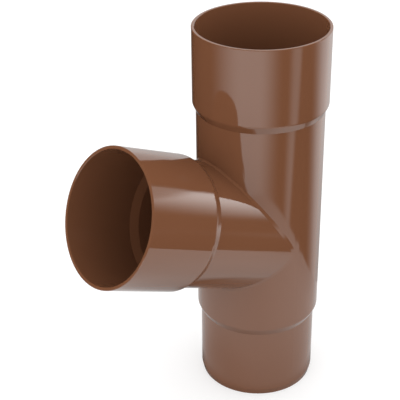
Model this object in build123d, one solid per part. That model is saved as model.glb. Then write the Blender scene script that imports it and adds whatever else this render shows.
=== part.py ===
from build123d import *
import math
import os

# One-piece moulded branch for round rainwater downpipe, in millimetres.
# The run stands upright on +Z. The origin is on its axis at the foot of the spigot's shoulder,
# where the pipe below ends. The branch rises towards -Y, and its axis crosses the run's axis.

# Pipe that the fitting joins
PIPE_OUTER_DIAMETER = 80.0
PIPE_WALL = 2.0

# Play between pipe and fitting, on the radius
SOCKET_PLAY = 0.2
SPIGOT_PLAY = 0.3

# Wall of the moulding, and how much slimmer the branch is than the run where they cross
WALL = 2.0
BRANCH_RELIEF = 0.3

# Lengths along the run
SPIGOT_LENGTH = 49.0
STOP_TO_CENTRE = 58.0
CENTRE_TO_RUN_MOUTH = 140.0

# Branch, with its lengths measured from the point where the two axes cross
BRANCH_ANGLE = 67.0
CENTRE_TO_BRANCH_MOUTH = 124.0

# Both sockets are equally deep, from the mouth to the ledge that stops the pipe
SOCKET_DEPTH = 48.5

# Slope of the shoulders off the axis, their rounded rim, and the narrow bevel that fills
# the crease between branch and run
SHOULDER_ANGLE = 25.0
SHOULDER_RADIUS = 3.0
CREASE_BEVEL = 1.2

# Broken edges of the three ends, and the cone that leads the spigot into its pipe
END_CHAMFER = 0.3
LEAD_IN_LENGTH = 4.0
LEAD_IN_DEPTH = 0.9

# The body is as wide as the pipe, a socket goes over the pipe and the spigot goes inside it
body_radius = PIPE_OUTER_DIAMETER / 2
socket_radius = body_radius + SOCKET_PLAY + WALL
spigot_radius = body_radius - PIPE_WALL - SPIGOT_PLAY
branch_radius = body_radius - BRANCH_RELIEF

# A shoulder outside lies this much nearer the mouth than the ledge inside, for an even wall
shoulder_angle = math.radians(SHOULDER_ANGLE)
ledge_shift = WALL * math.tan(shoulder_angle / 2)


def shoulder_length(step):
    """Length along the axis of a shoulder that widens a tube by the step."""
    return step / math.tan(shoulder_angle)


# Distances along each axis where the outside of the wider tube starts at its full width
body_start = shoulder_length(body_radius - spigot_radius)
run_mouth = STOP_TO_CENTRE + CENTRE_TO_RUN_MOUTH
run_socket_start = run_mouth - SOCKET_DEPTH + ledge_shift
branch_socket_start = CENTRE_TO_BRANCH_MOUTH - SOCKET_DEPTH + ledge_shift

# Axis of the branch
branch_angle = math.radians(BRANCH_ANGLE)
branch_direction = Vector(0, -math.sin(branch_angle), math.cos(branch_angle))
branch_plane = Plane(origin=(0, 0, STOP_TO_CENTRE), x_dir=(1, 0, 0), z_dir=branch_direction)


def turned(outline):
    """Solid of revolution on Z from a closed outline of radius and height."""
    return revolve(Plane.XZ * make_face(outline.edges()), Axis.Z)


def upright(radius, start, end):
    """Plain round bar on Z."""
    return turned(Polyline((0, start), (radius, start), (radius, end), (0, end), close=True))


def shouldered(narrow_radius, wide_radius, start, end):
    """Round bar on Z, wide from start to end, with a sloping shoulder below start that has
    a rounded rim and a crisp foot."""
    foot = start - shoulder_length(wide_radius - narrow_radius)
    bar = turned(
        Polyline(
            (0, foot),
            (narrow_radius, foot),
            (wide_radius, start),
            (wide_radius, end),
            (0, end),
            close=True,
        )
    )
    rim = bar.edges().filter_by_position(Axis.Z, start, start)
    return fillet(rim, SHOULDER_RADIUS)


# Skin: body and branch cross in a bevelled crease, then the spigot and sockets are added
body = shouldered(spigot_radius, body_radius, body_start, run_socket_start)
branch = upright(branch_radius, 0, branch_socket_start)
crossing = body + branch_plane * branch
crease = crossing.edges().filter_by(
    lambda edge: edge.geom_type not in (GeomType.CIRCLE, GeomType.LINE)
)
crossing = chamfer(crease, CREASE_BEVEL)
spigot = upright(spigot_radius, -SPIGOT_LENGTH, body_start)
run_socket = shouldered(body_radius, socket_radius, run_socket_start, run_mouth)
branch_socket = shouldered(
    branch_radius, socket_radius, branch_socket_start, CENTRE_TO_BRANCH_MOUTH
)
skin = crossing + spigot + run_socket + branch_plane * branch_socket

# Waterway: two stepped cores that meet in a sharp edge, one wall inside the skin
run_ledge_foot = run_socket_start - shoulder_length(socket_radius - body_radius)
branch_ledge_foot = branch_socket_start - shoulder_length(socket_radius - branch_radius)
run_core = turned(
    Polyline(
        (0, -SPIGOT_LENGTH),
        (spigot_radius - WALL, -SPIGOT_LENGTH),
        (spigot_radius - WALL, -ledge_shift),
        (body_radius - WALL, body_start - ledge_shift),
        (body_radius - WALL, run_ledge_foot - ledge_shift),
        (socket_radius - WALL, run_socket_start - ledge_shift),
        (socket_radius - WALL, run_mouth),
        (0, run_mouth),
        close=True,
    )
)
branch_core = turned(
    Polyline(
        (0, 0),
        (branch_radius - WALL, 0),
        (branch_radius - WALL, branch_ledge_foot - ledge_shift),
        (socket_radius - WALL, branch_socket_start - ledge_shift),
        (socket_radius - WALL, CENTRE_TO_BRANCH_MOUTH),
        (0, CENTRE_TO_BRANCH_MOUTH),
        close=True,
    )
)
connector = skin - run_core - branch_plane * branch_core

# The three ends have lightly broken edges, inside and outside
end_edges = (
    connector.edges().group_by(Axis.Z)[0]
    + connector.edges().group_by(Axis.Z)[-1]
    + connector.edges().group_by(Axis((0, 0, 0), branch_direction))[-1]
)
connector = chamfer(end_edges, END_CHAMFER)

# Cone that leads the spigot into the pipe below
lead_in = Polyline(
    (spigot_radius - LEAD_IN_DEPTH, -SPIGOT_LENGTH),
    (spigot_radius, LEAD_IN_LENGTH - SPIGOT_LENGTH),
    (body_radius, -SPIGOT_LENGTH),
    close=True,
)
connector -= turned(lead_in)

os.makedirs("parts", exist_ok=True)
export_step(connector, "parts/branch_connector.step")
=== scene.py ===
import math

import bpy
from mathutils import Matrix, Vector


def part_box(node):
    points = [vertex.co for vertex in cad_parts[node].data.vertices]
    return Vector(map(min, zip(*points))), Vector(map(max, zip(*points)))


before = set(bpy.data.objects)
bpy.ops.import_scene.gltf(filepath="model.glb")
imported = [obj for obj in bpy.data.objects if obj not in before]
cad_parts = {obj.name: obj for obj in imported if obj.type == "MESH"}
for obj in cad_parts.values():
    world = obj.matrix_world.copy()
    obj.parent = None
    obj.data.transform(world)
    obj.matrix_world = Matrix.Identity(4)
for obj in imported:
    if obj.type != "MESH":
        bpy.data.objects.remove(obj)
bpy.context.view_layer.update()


# Branch connector: the whole fitting, moulded in one shot from brown uPVC and left as it
# comes from a polished mould. The colour goes all through, so the rims of the mouths have it.
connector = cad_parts["branch_connector"]


class Wire:
    """A socket of a shader's nodes, on which sums are written as in plain arithmetic."""

    def __init__(self, tree, socket=None):
        self.tree = tree
        self.socket = socket

    def add(self, kind, settings, inputs, output=0):
        """Adds a node with its settings, then the values or links of its sockets."""
        node = self.tree.nodes.new(kind)
        for name, value in settings.items():
            setattr(node, name, value)
        for name, value in inputs.items():
            if isinstance(value, Wire):
                self.tree.links.new(value.socket, node.inputs[name])
            else:
                node.inputs[name].default_value = value
        return Wire(self.tree, node.outputs[output])

    def plug(self, socket):
        """Links this wire to a socket of a node that is already there."""
        self.tree.links.new(self.socket, socket)

    def arithmetic(self, operation, first, second):
        return self.add("ShaderNodeMath", {"operation": operation}, {0: first, 1: second})

    def __add__(self, other):
        return self.arithmetic("ADD", self, other)

    def __radd__(self, other):
        return self.arithmetic("ADD", other, self)

    def __sub__(self, other):
        return self.arithmetic("SUBTRACT", self, other)

    def __rsub__(self, other):
        return self.arithmetic("SUBTRACT", other, self)

    def __mul__(self, other):
        return self.arithmetic("MULTIPLY", self, other)

    def __rmul__(self, other):
        return self.arithmetic("MULTIPLY", other, self)


def noise(place, scale, detail):
    """Soft random clouds between 0 and 1. A larger scale makes them smaller."""
    inputs = {"Vector": place, "Scale": scale, "Detail": detail}
    return place.add("ShaderNodeTexNoise", {}, inputs, "Fac")


def brown_plastic():
    """Glossy uPVC: an even brown with faint clouds of pigment and a trace of orange peel."""
    warm_brown = (0.191, 0.078, 0.039, 1)
    cool_brown = (0.177, 0.072, 0.035, 1)
    polish = 0.05
    haze_on_polish = 0.04
    peel_height = 0.0001
    peel_strength = 0.02
    plastic_ior = 1.5
    material = bpy.data.materials.new("brown_plastic")
    material.use_nodes = True
    shader = material.node_tree.nodes["Principled BSDF"]
    place = Wire(material.node_tree).add("ShaderNodeTexCoord", {}, {}, "Object")
    clouds = noise(place, scale=18, detail=4)
    haze = noise(place, scale=60, detail=5)
    peel = noise(place, scale=900, detail=2)

    # A Mix node's colours go by number, because its sockets share their names
    first_colour, second_colour, mixed_colour = 6, 7, 2
    colours = {"Factor": clouds, first_colour: warm_brown, second_colour: cool_brown}
    colour = place.add("ShaderNodeMix", {"data_type": "RGBA"}, colours, mixed_colour)
    colour.plug(shader.inputs["Base Color"])
    roughness = polish + haze_on_polish * haze
    roughness.plug(shader.inputs["Roughness"])
    bumps = {"Height": peel, "Strength": peel_strength, "Distance": peel_height}
    relief = place.add("ShaderNodeBump", {}, bumps, "Normal")
    relief.plug(shader.inputs["Normal"])
    shader.inputs["IOR"].default_value = plastic_ior
    return material


connector.data.materials.clear()
connector.data.materials.append(brown_plastic())


# Floor: a wide sheet of plain white paper that the fitting stands on. It reaches the horizon
# from every side, shows white to the camera and keeps the fitting's soft shadow.
floor_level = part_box("branch_connector")[0].z
floor_size = 12
paper_albedo = 0.55
paper_glow = 0.5
bpy.ops.object.select_all(action="DESELECT")
bpy.ops.mesh.primitive_plane_add(size=floor_size, location=(0, 0, floor_level))
floor = bpy.context.active_object
floor.name = "floor"


def matt(name, albedo):
    """Plain material without any gloss, black at an albedo of 0 and white at 1."""
    material = bpy.data.materials.new(name)
    material.use_nodes = True
    shader = material.node_tree.nodes["Principled BSDF"]
    shader.inputs["Base Color"].default_value = (albedo, albedo, albedo, 1)
    shader.inputs["Roughness"].default_value = 1
    shader.inputs["Specular IOR Level"].default_value = 0
    shader.inputs["Emission Strength"].default_value = 1
    return material


def light_up(material, glow):
    """Makes a material give off light of its own, as bright as the wire says."""
    glow.plug(material.node_tree.nodes["Principled BSDF"].inputs["Emission Color"])


paper = matt("white_paper", paper_albedo)
seen = Wire(paper.node_tree).add("ShaderNodeLightPath", {}, {}, "Is Camera Ray")
light_up(paper, seen * paper_glow)
floor.data.materials.append(paper)
floor.visible_glossy = False


# Round table top under the fitting, which no lamp lights: it glows with painted light and painted
# shadow of its own. Only the gloss of the plastic sees it, so it is a painted reflection, the
# pale lower half of each reflection. It lies off centre, towards the camera.
camera_azimuth = 50.0
table_radius = 0.214
table_offset = 0.105
table_sides = 128


def studio_point(bearing, distance, height):
    """Point at a bearing from the camera and a distance, at a height over the floor."""
    turn = math.radians(camera_azimuth - bearing)
    return Vector((math.sin(turn) * distance, -math.cos(turn) * distance, floor_level + height))


def step(value, start, end):
    """Smooth step from 0 at the start to 1 at the end."""
    return value.add(
        "ShaderNodeMapRange",
        {"interpolation_type": "SMOOTHSTEP"},
        {"Value": value, "From Min": start, "From Max": end},
    )


def along(axis, place):
    """One coordinate of a place."""
    return place.add("ShaderNodeSeparateXYZ", {}, {"Vector": place}, axis)


def distance_to(point, place):
    """Distance of a place from a point."""
    inputs = {0: place, 1: point}
    return place.add("ShaderNodeVectorMath", {"operation": "DISTANCE"}, inputs, "Value")


def painted_table_light(place):
    """Painted light for the table's glow: stronger towards the camera and the right, with painted
    shade under the branch, round the foot and at the rim. The table's own X points to the right,
    and Y away."""
    even_light = 0.57
    foot = (0, table_offset, 0)
    under_branch = (-0.04, 0.08, 0)
    from_foot = distance_to(foot, place)
    away_from_foot = 0.28 * step(from_foot, 0.035, 0.13)
    to_camera = 0.5 * step(along("Y", place), 0.165, -0.01)
    to_right = 0.12 * step(along("X", place), 0, 0.1)
    # Painted shadow of the branch on the table, and painted contact shade round the foot.
    branch_shade = 0.2 * step(distance_to(under_branch, place), 0.065, 0.02)
    foot_shade = 0.4 * step(from_foot, 0.050, 0.038) * step(from_foot, 0.034, 0.037)
    light = even_light + away_from_foot + to_camera + to_right - branch_shade - foot_shade
    rim_light = 0.85
    inside_rim = step(distance_to((0, 0, 0), place), table_radius, 0.165)
    return light * (rim_light + (1 - rim_light) * inside_rim)


def show_in_gloss_only(piece):
    """Hides a stage piece from all but the mirror of the plastic."""
    piece.visible_camera = False
    piece.visible_diffuse = False
    piece.visible_shadow = False
    piece.visible_transmission = False


bpy.ops.object.select_all(action="DESELECT")
bpy.ops.mesh.primitive_circle_add(
    vertices=table_sides,
    radius=table_radius,
    fill_type="NGON",
    location=studio_point(0, table_offset, 0),
    rotation=(0, 0, math.radians(camera_azimuth)),
)
table = bpy.context.active_object
table.name = "table_top"
# Black material that gives off the table's painted light and shade as its own glow.
painted_table_material = matt("table_painted_glow", 0)
on_table = Wire(painted_table_material.node_tree).add("ShaderNodeTexCoord", {}, {}, "Object")
light_up(painted_table_material, painted_table_light(on_table))
table.data.materials.append(painted_table_material)
show_in_gloss_only(table)


# Studio room: a sphere all round that glows with painted reflections, cloths that glow and dark
# walls.
# Only the gloss of the plastic sees it, and it lights nothing. All angles are in degrees. A
# bearing is counted to the left from the camera, a compass angle to the right from the far side,
# and a rise upwards from the horizon.
room_radius = 30.0
room_centre = (0, -0.05, 0.09)
bpy.ops.object.select_all(action="DESELECT")
bpy.ops.mesh.primitive_uv_sphere_add(
    segments=96,
    ring_count=48,
    radius=room_radius,
    location=room_centre,
    rotation=(0, 0, math.radians(camera_azimuth)),
)
room = bpy.context.active_object
room.name = "studio_room"

# An edge or side of a cloth is two angles, between which its light changes smoothly: first
# where it is dark, then where it glows in full. Slanting edges are given at this depth below
# the horizon.
edge_depth = 24


def broad_panel_reflection(bearing, rise):
    """Painted reflection of a broad cloth to the left of the camera, dimmer near its foot."""
    left_edge, right_edge, top_edge, foot_edge = (92, 30), (-38, 4), (-8, -16), (-31, -22)
    panel = 2.35 * step(bearing, *left_edge) * step(bearing, *right_edge) * step(rise, *top_edge)
    return panel * (0.72 + 0.32 * step(rise, *foot_edge))


def narrow_strip_reflection(bearing, rise):
    """Painted reflection of a narrow cloth to the right of the camera, with a slanting far edge.
    """
    near_edge, far_edge, top_edge = (-43, -58), (-69, -61), (-8, -16)
    slant = 0.9 * (rise + edge_depth)
    strip = 1.3 * step(bearing, *near_edge) * step(bearing + slant, *far_edge)
    return strip * step(rise, *top_edge)


def backdrop_reflection(compass, rise):
    """Painted reflection of a wide cloth behind the fitting. Its right side is bright but low,
    its left side is dim and glows higher up."""
    left_edge, right_edge, top_edge, foot_edge = (-26, -2), (90, 58), (38, 28), (-34, -21)
    bright_side, lower_side, lower_top = (12, 50), (45, 60), (-14, -6)
    dim_side, upper_foot = (40, 15), (-12, 2)
    cloth = 1.67 * step(compass - (rise + edge_depth), *right_edge)
    cloth = cloth * (0.46 + 0.54 * step(compass, *bright_side))
    cloth = cloth * (0.55 + 0.45 * step(rise, *foot_edge))
    cloth = cloth * (1 - step(compass, *lower_side) * step(rise, *lower_top))
    cloth = cloth + 0.36 * step(compass, *dim_side) * step(rise, *upper_foot)
    return cloth * step(compass, *left_edge) * step(rise, *top_edge)


def softbox_reflection(bearing, rise):
    """Painted reflection of a softbox high on the right. It is bright below its bent rim, and a
    dim flap stands above.
    """
    box_near, box_far, box_foot = (-88, -115), (-119.5, -115.5), (2, 11)
    flap_near, flap_far, flap_top = (-95, -103), (-120.5, -118), (40, 30)
    steep_rim, flat_rim = (-13.45, -14.45), (1.1, 0.1)
    below_rim = step(rise + 0.33 * bearing, *steep_rim) * step(rise + 0.2 * bearing, *flat_rim)
    box = 5.9 * step(bearing, *box_near) * step(bearing, *box_far) * step(rise, *box_foot)
    flap = 1.5 * step(bearing, *flap_near) * step(bearing, *flap_far) * step(rise, *flap_top)
    return box * below_rim + flap * (1 - below_rim)


def painted_room_reflections():
    """Painted reflections: dark walls that glow where the cloths hang, seen only by the gloss."""
    material = matt("painted_studio_reflections", 0)
    place = Wire(material.node_tree).add("ShaderNodeTexCoord", {}, {}, "Object")
    right = along("X", place)
    away = along("Y", place)
    upward = along("Z", place) * (1 / room_radius)
    bearing = right.arithmetic("ARCTAN2", 0 - right, 0 - away) * math.degrees(1)
    compass = right.arithmetic("ARCTAN2", right, away) * math.degrees(1)
    rise = upward.arithmetic("ARCSINE", upward, 0) * math.degrees(1)
    by_camera = broad_panel_reflection(bearing, rise) + narrow_strip_reflection(bearing, rise)
    light_up(material, by_camera + backdrop_reflection(compass, rise) + softbox_reflection(bearing, rise))
    return material


room.data.materials.append(painted_room_reflections())
show_in_gloss_only(room)


# Studio light: the even light of a white room, a little weaker from overhead, and a soft
# lamp on each side. The lamps aim at the middle of the fitting.
lamp_size = 0.7
lamp_distance = 1.1
lamp_height = 0.65
lamp_target = Vector((0, 0, floor_level + 0.12))
for name, bearing, power in (("right_lamp", -100, 0.6), ("left_lamp", 50, 0.9)):
    lamp = bpy.data.lights.new(name, "AREA")
    lamp.size = lamp_size
    lamp.energy = power
    stand = bpy.data.objects.new(name, lamp)
    bpy.context.scene.collection.objects.link(stand)
    stand.location = studio_point(bearing, lamp_distance, lamp_height)
    stand.rotation_euler = (lamp_target - stand.location).to_track_quat("-Z", "Y").to_euler()
    stand.visible_glossy = False

side_light = 1.49
lost_overhead = 0.41
world = bpy.data.worlds.new("studio_air")
world.use_nodes = True
background = world.node_tree.nodes["Background"]
facing = Wire(world.node_tree).add("ShaderNodeTexCoord", {}, {}, "Generated")
upward = along("Z", facing)
air = side_light - lost_overhead * upward.arithmetic("MAXIMUM", upward, 0)
air.plug(background.inputs["Color"])
background.inputs["Strength"].default_value = 1
bpy.context.scene.world = world


# Camera: a long lens a little above the fitting, as in the photograph. Its angles are in
# degrees, and its lens and sensor in millimetres.
camera_distance = 0.6217
camera_height = 0.4739
camera_pitch = 29.08
camera_heading = camera_azimuth + 3.50
camera_roll = -0.713
lens = bpy.data.cameras.new("camera")
lens.lens = 99.24
lens.sensor_width = 36
lens.clip_start = 0.01
camera = bpy.data.objects.new("camera", lens)
bpy.context.scene.collection.objects.link(camera)
camera.matrix_world = (
    Matrix.Translation(studio_point(0, camera_distance, camera_height))
    @ Matrix.Rotation(math.radians(camera_heading), 4, "Z")
    @ Matrix.Rotation(math.radians(90 - camera_pitch), 4, "X")
    @ Matrix.Rotation(math.radians(camera_roll), 4, "Z")
)
bpy.context.scene.camera = camera
bpy.context.scene.view_settings.view_transform = "Standard"
